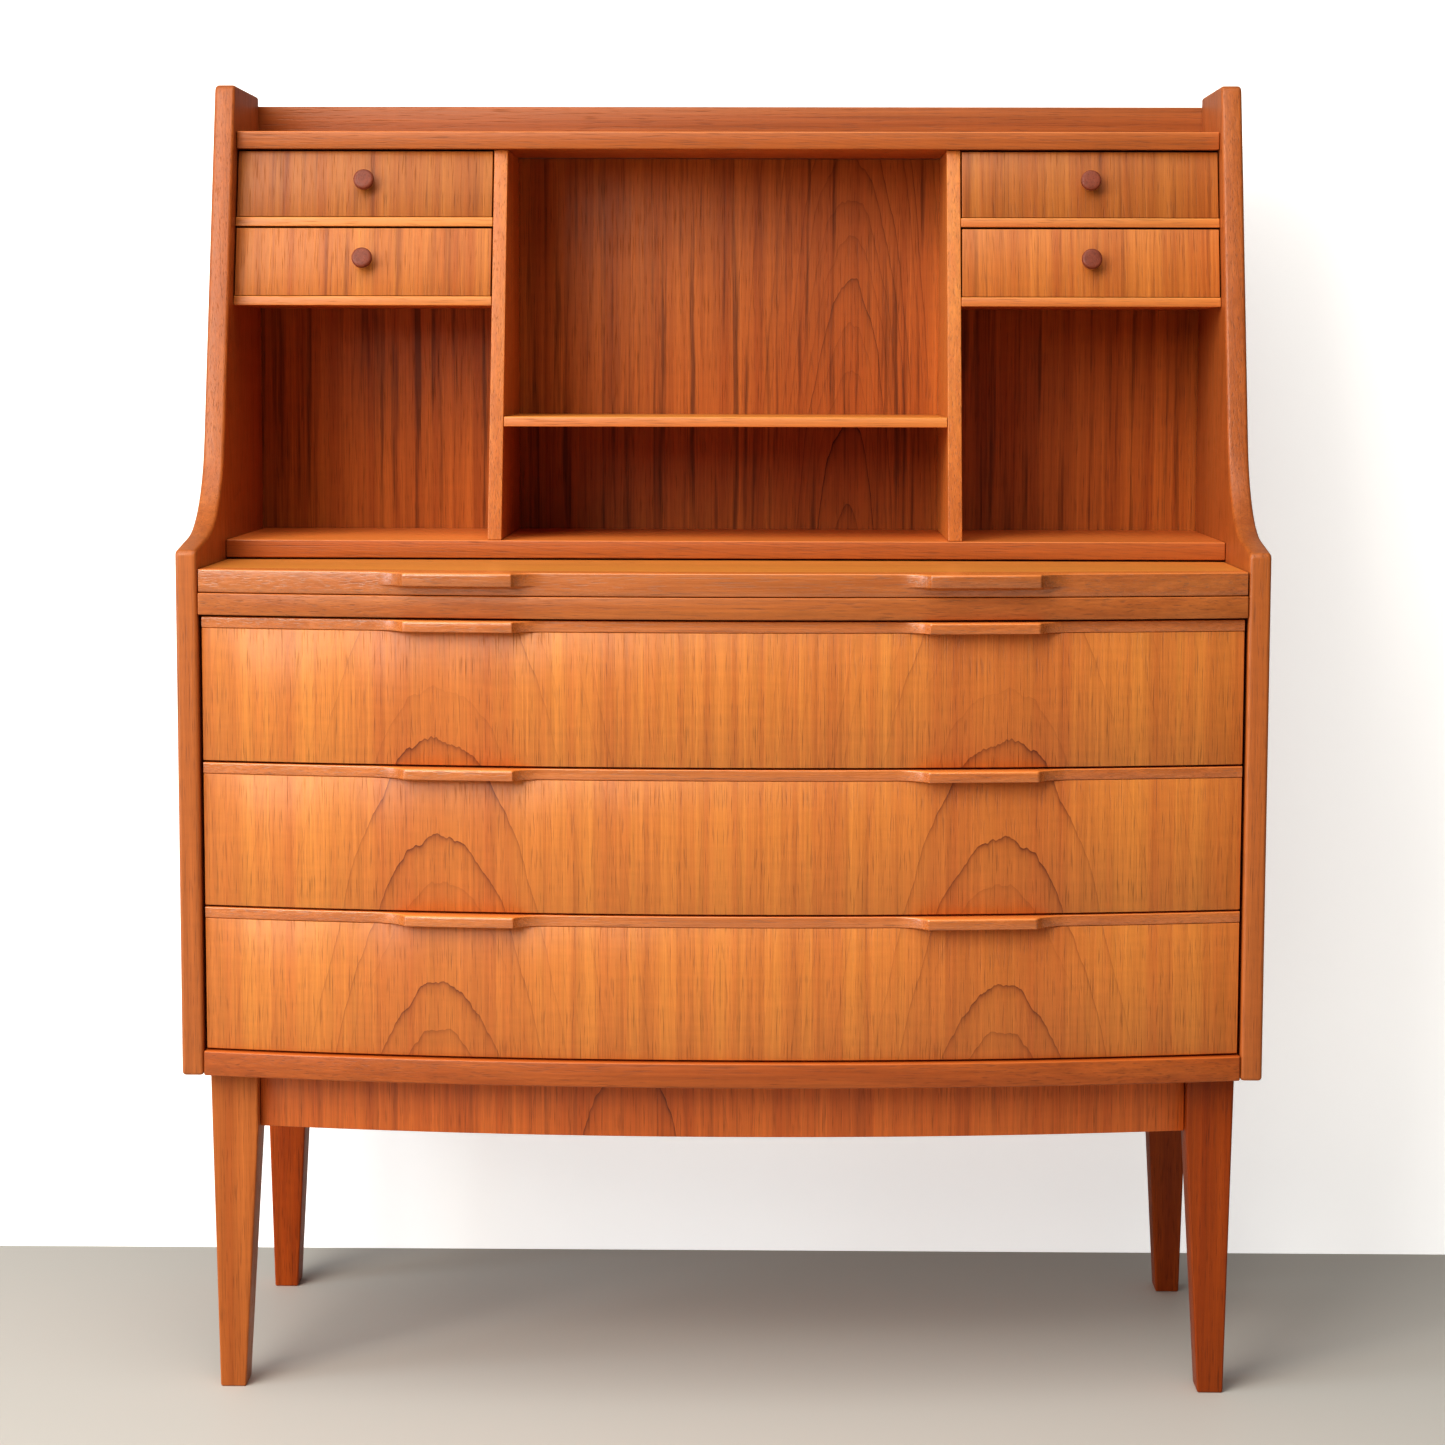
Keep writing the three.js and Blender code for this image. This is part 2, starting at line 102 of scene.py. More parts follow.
# %% Helpers for node trees
class Tree:
    """Adds and links nodes in a few words."""

    def __init__(self, tree):
        self.tree = tree

    def node(self, kind, **settings):
        made = self.tree.nodes.new(kind)
        for key, value in settings.items():
            setattr(made, key, value)
        return made

    def link(self, source, target):
        if isinstance(source, (int, float)):
            target.default_value = source
        else:
            self.tree.links.new(source, target)

    def math(self, operation, *values, clamp=False):
        made = self.node("ShaderNodeMath", operation=operation, use_clamp=clamp)
        for socket, value in zip(made.inputs, values):
            self.link(value, socket)
        return made.outputs[0]

    def noise(self, vector, stretch, detail=2.0, rough=0.5):
        """Noise whose spots are 1/stretch metres long on each axis."""
        scaled = self.node("ShaderNodeVectorMath", operation="MULTIPLY")
        self.link(vector, scaled.inputs[0])
        scaled.inputs[1].default_value = stretch
        made = self.node("ShaderNodeTexNoise")
        self.link(scaled.outputs[0], made.inputs["Vector"])
        made.inputs["Scale"].default_value = 1.0
        made.inputs["Detail"].default_value = detail
        made.inputs["Roughness"].default_value = rough
        return made.outputs["Fac"]

    def span(self, value, low, high, to_low=0.0, to_high=1.0):
        made = self.node("ShaderNodeMapRange")
        for socket, number in zip(made.inputs, (value, low, high, to_low, to_high)):
            self.link(number, socket)
        return made.outputs[0]

    def mix(self, factor, colour_a, colour_b, blend="MIX"):
        made = self.node("ShaderNodeMix", data_type="RGBA", blend_type=blend)
        self.link(factor, made.inputs[0])
        for socket, colour in ((made.inputs[6], colour_a), (made.inputs[7], colour_b)):
            if isinstance(colour, tuple):
                socket.default_value = colour
            else:
                self.link(colour, socket)
        return made.outputs[2]


def new_group(name, floats, colours, outputs):
    """An empty node group with named float and colour inputs."""
    group = bpy.data.node_groups.new(name, "ShaderNodeTree")
    face = group.interface
    for label in floats:
        face.new_socket(label, in_out="INPUT", socket_type="NodeSocketFloat")
    for label in colours:
        face.new_socket(label, in_out="INPUT", socket_type="NodeSocketColor")
    for label, kind in outputs:
        face.new_socket(label, in_out="OUTPUT", socket_type=kind)
    return group, Tree(group)


print("node helpers ready")

# %% The log of teak
TEAK_FLOATS = ("Across", "Depth", "Along", "Heart", "Slope", "Ring", "Lines", "Streaks", "Veins",
               "Pores", "Ripple", "Rough")
TEAK_COLOURS = ("Light", "Deep", "Line")


def teak_group():
    group, t = new_group("teak_log", TEAK_FLOATS, TEAK_COLOURS,
                         (("Colour", "NodeSocketColor"), ("Height", "NodeSocketFloat"),
                          ("Roughness", "NodeSocketFloat")))
    given = t.node("NodeGroupInput").outputs
    place = t.node("ShaderNodeCombineXYZ")
    for axis, label in enumerate(("Across", "Depth", "Along")):
        t.link(given[label], place.inputs[axis])
    spot = place.outputs[0]

    # rings round a heart that drifts and wavers as it rises
    sway = t.span(t.noise(spot, (4.5, 4.5, 1.1), 2), 0, 1, -0.010, 0.010)
    waver = t.span(t.noise(spot, (22, 22, 6), 4, 0.6), 0, 1, -0.0042, 0.0042)
    climb = t.math("MULTIPLY_ADD", given["Along"], given["Slope"], given["Heart"])
    out_of_heart = t.math("ADD", climb, given["Depth"])
    across = t.math("ADD", given["Across"], sway)
    radius = t.math("SQRT", t.math("ADD", t.math("MULTIPLY", across, across),
                                   t.math("MULTIPLY", out_of_heart, out_of_heart)))
    radius = t.math("ADD", radius, waver)

    # each ring darkens slowly and ends in a thin line, and some years are stronger than others
    ring = t.math("DIVIDE", radius, given["Ring"])
    phase = t.math("FRACT", ring)
    late = t.math("MULTIPLY_ADD", t.math("POWER", phase, 3.0), 0.35, t.math("POWER", phase, 16.0))
    year = t.node("ShaderNodeTexNoise", noise_dimensions="1D")
    t.link(t.math("MULTIPLY", t.math("FLOOR", ring), 0.73), year.inputs["W"])
    year.inputs["Scale"].default_value = 1.0
    year.inputs["Detail"].default_value = 3.0
    strength = t.span(year.outputs["Fac"], 0.43, 0.57, 0.0, 1.0)
    near = t.span(t.math("ABSOLUTE", across), 0.045, 0.11, 1.0, 0.25)
    patch = t.span(t.noise(spot, (18, 18, 2.0), 3), 0.3, 0.6, 0.35, 1.0)
    line = t.math("MULTIPLY", t.math("MULTIPLY", late, strength), t.math("MULTIPLY", near, patch))
    line = t.math("MULTIPLY", line, given["Lines"], clamp=True)

    # streaks, fibres, pores and ripple
    streak = t.span(t.noise(spot, (60, 60, 0.9), 6, 0.65), 0.32, 0.68)
    streak = t.math("MULTIPLY", streak, given["Streaks"], clamp=True)
    broad = t.span(t.noise(spot, (300, 300, 3.5), 3, 0.6), 0.3, 0.7, -1, 1)
    fine = t.span(t.noise(spot, (900, 900, 12), 2, 0.6), 0.3, 0.7, -1, 1)
    fibre = t.math("MULTIPLY_ADD", fine, 0.5, broad)
    pore = t.span(t.noise(spot, (800, 800, 34), 1), 0.58, 0.72)
    ripple = t.span(t.noise(spot, (26, 26, 150), 2), 0.3, 0.7, -1, 1)

    colour = t.mix(streak, given["Light"], given["Deep"])
    colour = t.mix(t.math("MULTIPLY", near, 0.55), colour, given["Deep"])
    colour = t.mix(line, colour, given["Line"])
    vein = t.span(t.noise(spot, (110, 110, 3.0), 4, 0.62), 0.53, 0.65)
    colour = t.mix(t.math("MULTIPLY", vein, given["Veins"]), colour, given["Line"])
    shade = t.math("MULTIPLY_ADD", fibre, 0.12, 1.0)
    shade = t.math("ADD", shade, t.math("MULTIPLY", ripple, given["Ripple"]))
    shade = t.math("SUBTRACT", shade, t.math("MULTIPLY", pore, given["Pores"]))
    grey = t.node("ShaderNodeCombineColor")
    for socket in grey.inputs[:3]:
        t.link(shade, socket)
    colour = t.mix(1.0, colour, grey.outputs[0], "MULTIPLY")

    out = t.node("NodeGroupOutput")
    t.link(colour, out.inputs["Colour"])
    t.link(t.math("SUBTRACT", t.math("MULTIPLY", fibre, 0.25), pore), out.inputs["Height"])
    t.link(t.math("MULTIPLY_ADD", fibre, 0.03, t.math("MULTIPLY_ADD", pore, 0.2, given["Rough"])),
           out.inputs["Roughness"])
    return group


log = teak_group()
print("teak_log has", len(log.nodes), "nodes")

# %% [markdown]
# A board is cut from the log along one axis of the desk. `grain` names that axis, `face` the axis
# the veneer looks along, and each board takes its own place in the log so that no two boards
# carry on each other's figure. The tones are for oiled wood that has been in use for years.

# %% One board's material
def colour(red, green, blue):
    """A linear colour from the 0 to 255 values of a paint chart."""
    def linear(value):
        part = value / 255
        return part / 12.92 if part <= 0.04045 else ((part + 0.055) / 1.055) ** 2.4
    return (linear(red), linear(green), linear(blue), 1.0)


TONES = {
    "front": (colour(218, 139, 62), colour(186, 101, 46), colour(106, 44, 18)),
    "small": (colour(214, 134, 62), colour(176, 92, 40), colour(104, 46, 20)),
    "case": (colour(196, 114, 54), colour(166, 86, 36), colour(104, 46, 18)),
    "rail": (colour(202, 120, 58), colour(174, 92, 40), colour(108, 50, 22)),
    # darker and redder, for the legs away from the lights: partly their own wood, partly painted
    # shade
    "stand": (colour(196, 92, 24), colour(158, 60, 10), colour(90, 30, 6)),
    "back": (colour(206, 121, 54), colour(156, 78, 32), colour(70, 28, 10)),
    "apron": (colour(200, 108, 44), colour(172, 82, 28), colour(88, 36, 12)),
    "knob": (colour(142, 74, 52), colour(116, 56, 40), colour(70, 32, 22)),
    "box": (colour(216, 172, 118), colour(194, 146, 94), colour(152, 104, 62)),
    "ply": (colour(200, 152, 102), colour(174, 124, 78), colour(132, 88, 50)),
}
# how much paler the upward faces get under the painted top light
TOP_LIGHT_PALER = 1.7
AXES = {"x": 0, "y": 1, "z": 2}
LOG_STEP = 0.737
LOG_LENGTH = 0.9
CENTRE_SPREAD = 0.11
HEART_SPREAD = 0.03
board_count = 0


def wood(name, tone, grain="x", face="y", centre=None, slope=0.10, heart=0.05, ring=0.0030,
         lines=0.6, streaks=0.8, veins=0.1, pores=0.28, ripple=0.02, mirror=False, depth=1.0,
         gloss=0.45, rough=0.38, lift=0.00025, shade=1.0, painted_top_light=0.0):
    """A material whose grain runs along one axis, with its own place in the log.

    One setting paints the faces that look up paler, as painted light from above and painted
    highlights on upper edges; depth 0 is thin veneer.
    """
    global board_count
    board_count += 1
    material = bpy.data.materials.new(name)
    material.use_nodes = True
    t = Tree(material.node_tree)
    shader = material.node_tree.nodes["Principled BSDF"]
    coordinates = t.node("ShaderNodeTexCoord")
    parts = t.node("ShaderNodeSeparateXYZ")
    t.link(coordinates.outputs["Object"], parts.inputs[0])
    side = ({"x", "y", "z"} - {grain, face}).pop()
    across = parts.outputs[AXES[side]]
    if mirror:
        across = t.math("ABSOLUTE", across)
    drift = 0.0 if mirror else board_count * LOG_STEP % LOG_LENGTH
    if centre is None:
        centre = CENTRE_SPREAD * math.sin(board_count * 2.4)
        heart = heart + HEART_SPREAD * math.sin(board_count * 1.7)
    group = t.node("ShaderNodeGroup", node_tree=log)
    t.link(t.math("SUBTRACT", across, centre), group.inputs["Across"])
    t.link(t.math("MULTIPLY", parts.outputs[AXES[face]], depth), group.inputs["Depth"])
    t.link(t.math("ADD", parts.outputs[AXES[grain]], drift), group.inputs["Along"])
    for label, value in (("Heart", heart), ("Slope", slope), ("Ring", ring), ("Lines", lines),
                         ("Streaks", streaks), ("Pores", pores), ("Ripple", ripple),
                         ("Rough", rough), ("Veins", veins)):
        group.inputs[label].default_value = value
    for label, value in zip(TEAK_COLOURS, TONES[tone]):
        group.inputs[label].default_value = (*(part * shade for part in value[:3]), 1.0)
    # painted light: faces that look up are mixed toward a paler tone, a painted highlight from
    # above
    light = TONES[tone][0][:3]
    top_light_colour = (*(min(1.0, part * shade * TOP_LIGHT_PALER) for part in light), 1.0)
    facing = t.node("ShaderNodeSeparateXYZ")
    t.link(coordinates.outputs["Normal"], facing.inputs[0])
    top_light_mask = t.math("MULTIPLY", t.span(facing.outputs[2], 0.2, 0.75), painted_top_light)
    t.link(t.mix(top_light_mask, group.outputs["Colour"], top_light_colour), shader.inputs["Base Color"])
    t.link(group.outputs["Roughness"], shader.inputs["Roughness"])
    shader.inputs["Specular IOR Level"].default_value = gloss
    bump = t.node("ShaderNodeBump")
    bump.inputs["Strength"].default_value = 0.5
    bump.inputs["Distance"].default_value = lift
    t.link(group.outputs["Height"], bump.inputs["Height"])
    t.link(bump.outputs[0], shader.inputs["Normal"])
    return material


print("tones:", ", ".join(TONES))

# %% [markdown]
# ## Soft edges
# No edge on hand-finished furniture is sharp: each one is sanded to a small radius, and that
# radius is what catches the light. A bevel could be modelled by hand on every board, but the
# boards already exist, so a copy of each is welded, cleared of its stray triangle edges, and
# given a bevel whose normals are hardened, which keeps the flat faces flat.

# %% Turn a modifier stack into a plain mesh
def settle(obj):
    """Applies the object's modifiers and leaves a plain mesh."""
    bpy.context.view_layer.update()
    graph = bpy.context.evaluated_depsgraph_get()
    shape = bpy.data.meshes.new_from_object(obj.evaluated_get(graph))
    old = obj.data
    obj.modifiers.clear()
    obj.data = shape
    bpy.data.meshes.remove(old)
    return obj


def new_object(name, mesh):
    obj = bpy.data.objects.new(name, mesh)
    bpy.context.scene.collection.objects.link(obj)
    return obj


def round_edges(obj, radius, segments=3, angle=24):
    """Rounds every edge sharper than angle degrees."""
    obj.data.shade_smooth()
    bevel = obj.modifiers.new("edges", "BEVEL")
    bevel.width = radius
    bevel.segments = segments
    bevel.limit_method = "ANGLE"
    bevel.angle_limit = math.radians(angle)
    bevel.harden_normals = True
    return settle(obj)


def place_piece(obj, body, material, slot, *nodes):
    """Dresses a finished piece and hangs it on its body."""
    obj.data.materials.clear()
    obj.data.materials.append(material)
    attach(obj, body)
    if nodes:
        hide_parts(*nodes)
    return obj


WELD = 2e-5
FLAT_ENOUGH = math.radians(0.4)


def softened(node, material, slot, radius=0.0012, segments=3):
    """A rounded copy of a node stands for it."""
    mesh = bmesh.new()
    mesh.from_mesh(frame["nodes"][node].data)
    bmesh.ops.remove_doubles(mesh, verts=mesh.verts, dist=WELD)
    bmesh.ops.dissolve_limit(mesh, angle_limit=FLAT_ENOUGH, verts=mesh.verts, edges=mesh.edges)
    data = bpy.data.meshes.new(node + "_shape")
    mesh.to_mesh(data)
    mesh.free()
    obj = round_edges(new_object(node + "_shaped", data), radius, segments)
    return place_piece(obj, body_of[node], material, slot, node)


print("edge helpers ready")

# %% [markdown]
# ## The case
# Side panels are veneered with the grain upright, and their front edges are rounded more than
# the rest because hands pass over them. The boards between them carry horizontal grain.

# %% Side panels
SIDE_EDGE = 0.0034
for hand, centre in (("left", 0.06), ("right", -0.02)):
    softened(f"side_panel_{hand}",
             wood(f"teak_side_{hand}", "case", grain="z", face="x", centre=centre, slope=0.05,
                  lines=0.55, streaks=0.7, ripple=0.03, shade=0.95),
             "teak_case", SIDE_EDGE, 5)
print("side panels")

# %% Boards across the case
SHELF_EDGE = 0.0008
DIVIDER_EDGE = 0.0009
GALLERY_EDGE = 0.0014
# the boards' tops and upper edges get painted top light
for node, tone, radius, shade in (("base_board", "apron", 0.0016, 0.82),
                                  ("carrier_board", "rail", 0.0012, 0.83),
                                  ("upper_floor_board", "rail", 0.0012, 0.95),
                                  ("top_board", "rail", 0.0014, 0.9)):
    softened(node, wood("teak_" + node, tone, grain="x", face="z", lines=0.5, streaks=0.8,
                        shade=shade, painted_top_light=0.6),
             "teak_case", radius)
softened("gallery_rail", wood("teak_gallery", "case", grain="x", face="y", lines=0.45, shade=0.75),
         "teak_solid", GALLERY_EDGE)
# the shelves' tops and upper edges get painted top light as well
softened("centre_shelf", wood("teak_centre_shelf", "front", grain="x", face="z", lines=0.3,
                              shade=1.05, painted_top_light=0.5),
         "teak_case", SHELF_EDGE)
for hand in ("left", "right"):
    softened(f"divider_{hand}",
             wood(f"teak_divider_{hand}", "front", grain="z", face="x", lines=0.3),
             "teak_case", DIVIDER_EDGE)
    for level in ("upper", "lower"):
        softened(f"{hand}_{level}_shelf",
                 wood(f"teak_{hand}_{level}_shelf", "front", grain="x", face="z", lines=0.3,
                      painted_top_light=0.5),
                 "teak_case", SHELF_EDGE)
print("boards, dividers and shelves")

# %% Back panel
BACK_EDGE = 0.0006
softened("back_panel", wood("teak_back", "back", grain="z", face="y", centre=0.12, slope=0.12,
                            heart=-0.1, ring=0.0056, lines=1.0, streaks=0.9, veins=0.62,
                            depth=0.0, gloss=0.2),
         "plywood", BACK_EDGE, 2)
print("back panel")

# %% [markdown]
# ## The stand
# The legs are solid, with their grain upright, and each is a piece of its own, lighter or darker
# than the next; the right and rear legs, away from the lights, also get a darker, redder tone
# that is painted shade. The front apron follows the bow, and its veneer also stands upright.

# %% Legs and aprons
LEG_EDGE = 0.002
# the right and rear legs are darker partly by their own wood and partly by painted shade
for node, tone, shade in (("front_leg_left", "case", 0.98), ("front_leg_right", "stand", 0.66),
                          ("rear_leg_left", "stand", 0.86), ("rear_leg_right", "stand", 0.7)):
    softened(node, wood("teak_" + node, tone, grain="z", face="y", lines=0.5, streaks=0.8,
                        gloss=0.25, shade=shade),
             "teak_solid", LEG_EDGE)
for node, face in (("front_apron", "y"), ("rear_apron", "y"),
                   ("left_apron", "x"), ("right_apron", "x")):
    softened(node, wood("teak_" + node, "apron", grain="z", face=face, ring=0.006, lines=0.8,
                        streaks=1.0, veins=0.3, depth=0.0, shade=1.2),
             "teak_case")
print("stand")

# %% [markdown]
# ## Rules that build geometry
# Some pieces repeat, and some follow a rule. A geometry tree holds such a rule, with its sizes as
# named inputs. Each tree ends by making its copies real and giving them a material, and the
# result is kept as a plain mesh, so nothing depends on the tree afterwards.

# %% Geometry trees
def geometry_tree(name, inputs):
    """A geometry tree with named inputs, and its helper."""
    group = bpy.data.node_groups.new(name, "GeometryNodeTree")
    group.is_modifier = True
    for label, kind in inputs.items():
        group.interface.new_socket(label, in_out="INPUT", socket_type="NodeSocket" + kind)
    group.interface.new_socket("Geometry", in_out="OUTPUT", socket_type="NodeSocketGeometry")
    t = Tree(group)
    return group, t, t.node("NodeGroupInput").outputs


def finish_tree(t, given, geometry):
    """Ends a tree: what it made becomes real and gets its material."""
    real = t.node("GeometryNodeRealizeInstances")
    t.link(geometry, real.inputs[0])
    dress = t.node("GeometryNodeSetMaterial")
    t.link(real.outputs[0], dress.inputs["Geometry"])
    t.link(given["Material"], dress.inputs["Material"])
    t.link(dress.outputs[0], t.node("NodeGroupOutput").inputs[0])


def repeat_and_dress(t, given, points, part, turn=None, place=None):
    """Ends a tree with the part on every point."""
    spread = t.node("GeometryNodeInstanceOnPoints")
    t.link(points, spread.inputs["Points"])
    t.link(part, spread.inputs["Instance"])
    moved = t.node("GeometryNodeTransform")
    t.link(spread.outputs[0], moved.inputs["Geometry"])
    if turn is not None:
        t.link(turn, moved.inputs["Rotation"])
    if place is not None:
        t.link(place, moved.inputs["Translation"])
    finish_tree(t, given, moved.outputs[0])


def grow(name, group, values):
    """Runs a tree with its inputs set, and keeps the result as a plain mesh."""
    obj = new_object(name, bpy.data.meshes.new(name))
    rule = obj.modifiers.new("rule", "NODES")
    rule.node_group = group
    for item in group.interface.items_tree:
        if item.in_out == "INPUT":
            rule[item.identifier] = values[item.name]
    return settle(obj)


print("tree helpers ready")

# %% [markdown]
# ## Grips
# Each drawer has a strip of solid teak along its top, and two grips are shaped in it: the front
# swells forward in a scooped ramp, runs flat for the width of a hand, and falls back. Sculpting
# would do for one grip. Six alike follow one rule, so a tree bends a flat grid into the strip:
# one side of the grid runs along the bow, the other runs round the section. The slab's lip has a
# finger cove as well, and its sections are lofted from a list.

# %% Stations along a strip
GRIP_CENTRE = 0.238
GRIP_LENGTH = 0.100
GRIP_REACH = 0.016
RAMP_LENGTH = 0.030
RAMP_STEPS = 9
RAMP_SHARPNESS = 0.96
LIP_ROUND = 0.0016


def ramp_reach(part):
    """How far the ramp stands out, from 0 at its start to the full reach."""
    full = 1 - math.sqrt(1 - RAMP_SHARPNESS ** 2)
    return GRIP_REACH * (1 - math.sqrt(1 - (RAMP_SHARPNESS * part) ** 2)) / full


def grip_profile(centre):
    """Points (x, reach) over one grip, from left to right."""
    rise = [(-GRIP_LENGTH / 2 - RAMP_LENGTH * (1 - k / RAMP_STEPS), ramp_reach(k / RAMP_STEPS))
            for k in range(RAMP_STEPS)]
    lip = [(-GRIP_LENGTH / 2 + LIP_ROUND * u, GRIP_REACH - LIP_ROUND * v)
           for u, v in ((-0.35, 1.6), (0.0, 0.7), (0.4, 0.2), (1.0, 0.0))]
    half = rise + lip + [(-GRIP_LENGTH / 4, GRIP_REACH)]
    return ([(centre + x, out) for x, out in half] + [(centre, GRIP_REACH)]
            + [(centre - x, out) for x, out in reversed(half)])


def stations(half):
    """(x, reach) along a whole strip."""
    edge = GRIP_CENTRE + GRIP_LENGTH / 2 + RAMP_LENGTH
    inner = GRIP_CENTRE - GRIP_LENGTH / 2 - RAMP_LENGTH
    ends = [(-half + (half - edge) * k / 6, 0.0) for k in range(6)]
    middle = [(-inner + 2 * inner * k / 12, 0.0) for k in range(1, 12)]
    return (ends + grip_profile(-GRIP_CENTRE) + middle + grip_profile(GRIP_CENTRE)
            + [(-x, out) for x, out in reversed(ends)])


print(len(stations(inner_half)), "stations on a strip")

# %% Loft the sections
def loft(name, rings):
    """A closed skin through rings of equal count, capped at both ends."""
    mesh = bmesh.new()
    made = [[mesh.verts.new(spot) for spot in ring] for ring in rings]
    count = len(rings[0])
    for low, high in zip(made, made[1:]):
        for k in range(count):
            after = (k + 1) % count
            mesh.faces.new((low[k], low[after], high[after], high[k]))
    mesh.faces.new(list(reversed(made[0])))
    mesh.faces.new(made[-1])
    bmesh.ops.remove_doubles(mesh, verts=mesh.verts, dist=1e-6)
    bmesh.ops.recalc_face_normals(mesh, faces=mesh.faces)
    data = bpy.data.meshes.new(name)
    mesh.to_mesh(data)
    mesh.free()
    return data


print("loft ready")

# %% The rule of a gripped strip
# a row is a point of the section: how far forward, and how far up, each with its parts of the
# crown's and the sole's radius
SECTION = [(0, 0, 0, 0, 0, 0), (0, 0, 0, 1, 0, 0)]
for turn in (math.radians(22.5 * k) for k in range(5)):
    SECTION.append((1, 1 - math.sin(turn), 0, 1, math.cos(turn) - 1, 0))
for turn in (math.radians(45 * k) for k in range(3)):
    SECTION.append((1, 0, 1 - math.cos(turn), 0, 0, 1 - math.sin(turn)))
SECTION.append(SECTION[0])
STRIP_STATIONS = 641
SEAM = 1e-5

STRIP_SIZES = ("Half Width", "Bow Radius", "Bow Centre", "Inset", "Depth", "Bottom", "Top", "Crown",
               "Grip Crown", "Sole", "Grip Centre", "Grip Length", "Grip Reach", "Ramp Length",
               "Ramp Sharpness")
strip_tree, t, given = geometry_tree("gripped_strip", {
    **dict.fromkeys(STRIP_SIZES, "Float"), "Material": "Material"})
sheet = t.node("GeometryNodeMeshGrid")
for socket, value in (("Size X", 2.0 + 4.0 / STRIP_STATIONS), ("Size Y", len(SECTION) - 1.0),
                      ("Vertices X", STRIP_STATIONS), ("Vertices Y", len(SECTION))):
    sheet.inputs[socket].default_value = value
spot = t.node("ShaderNodeSeparateXYZ")
t.link(t.node("GeometryNodeInputPosition").outputs[0], spot.inputs[0])
along = t.math("MINIMUM", t.math("MAXIMUM", spot.outputs[0], -1.0), 1.0)
x = t.math("MULTIPLY", along, given["Half Width"])
number = t.math("ROUND", t.math("ADD", spot.outputs[1], (len(SECTION) - 1) / 2))


def of_section(column):
    """The section's own value in one column, picked by the point's number round it."""
    pick = t.node("GeometryNodeIndexSwitch", data_type="FLOAT")
    while len(pick.index_switch_items) < len(SECTION):
        pick.index_switch_items.new()
    t.link(number, pick.inputs[0])
    for k, point in enumerate(SECTION):
        pick.inputs[1 + k].default_value = point[column]
    return pick.outputs[0]


def circle_depth(radius):
    """Y of an arc of that radius about the bow's centre."""
    square = t.math("SUBTRACT", t.math("MULTIPLY", radius, radius), t.math("MULTIPLY", x, x))
    return t.math("SUBTRACT", given["Bow Centre"], t.math("SQRT", square))


def scoop(part):
    """How deep the ramp's scoop is, from a part of 0 to 1."""
    steep = t.math("MULTIPLY", part, given["Ramp Sharpness"])
    flat = t.math("SQRT", t.math("SUBTRACT", 1.0, t.math("MULTIPLY", steep, steep)))
    return t.math("SUBTRACT", 1.0, flat)


from_grip = t.math("ABSOLUTE", t.math("SUBTRACT", t.math("ABSOLUTE", x), given["Grip Centre"]))
beyond = t.math("SUBTRACT", from_grip, t.math("MULTIPLY", given["Grip Length"], 0.5))
part = t.math("SUBTRACT", 1.0, t.math("DIVIDE", beyond, given["Ramp Length"]), clamp=True)
out = t.math("DIVIDE", scoop(part), scoop(1.0))
surface = t.math("SUBTRACT", given["Bow Radius"], given["Inset"])
front = circle_depth(t.math("MULTIPLY_ADD", out, given["Grip Reach"], surface))
rear = circle_depth(t.math("SUBTRACT", surface, given["Depth"]))
crown = t.math("MULTIPLY_ADD", out, given["Grip Crown"], given["Crown"])
y = t.math("MULTIPLY_ADD", of_section(0), t.math("SUBTRACT", front, rear), rear)
y = t.math("MULTIPLY_ADD", of_section(1), crown, y)
y = t.math("MULTIPLY_ADD", of_section(2), given["Sole"], y)
height = t.math("SUBTRACT", given["Top"], given["Bottom"])
z = t.math("MULTIPLY_ADD", of_section(3), height, given["Bottom"])
z = t.math("MULTIPLY_ADD", of_section(4), crown, z)
z = t.math("MULTIPLY_ADD", of_section(5), given["Sole"], z)

# past each end the section shrinks to its middle, which closes the strip
end = t.math("GREATER_THAN", t.math("ABSOLUTE", spot.outputs[0]), 1.0 + 1.0 / STRIP_STATIONS)
middle_y = t.math("MULTIPLY", t.math("ADD", front, rear), 0.5)
middle_z = t.math("MULTIPLY", t.math("ADD", given["Top"], given["Bottom"]), 0.5)
placed = t.node("ShaderNodeCombineXYZ")
t.link(x, placed.inputs[0])
t.link(t.math("MULTIPLY_ADD", end, t.math("SUBTRACT", middle_y, y), y), placed.inputs[1])
t.link(t.math("MULTIPLY_ADD", end, t.math("SUBTRACT", middle_z, z), z), placed.inputs[2])
bent = t.node("GeometryNodeSetPosition")
t.link(sheet.outputs["Mesh"], bent.inputs["Geometry"])
t.link(placed.outputs[0], bent.inputs["Position"])
sewn = t.node("GeometryNodeMergeByDistance")
t.link(bent.outputs[0], sewn.inputs["Geometry"])
sewn.inputs["Distance"].default_value = SEAM
turned = t.node("GeometryNodeFlipFaces")
t.link(sewn.outputs[0], turned.inputs[0])
finish_tree(t, given, turned.outputs[0])
print("gripped_strip has", len(strip_tree.nodes), "nodes")

# %% [markdown]
# ## Large drawers
# The veneer of the three fronts comes from one flitch, laid in order, so the arches stand above
# each other. That is why all three share one material: it is set by place, and a drawer that is
# pulled out keeps its own part of the figure, because its pattern belongs to the piece.

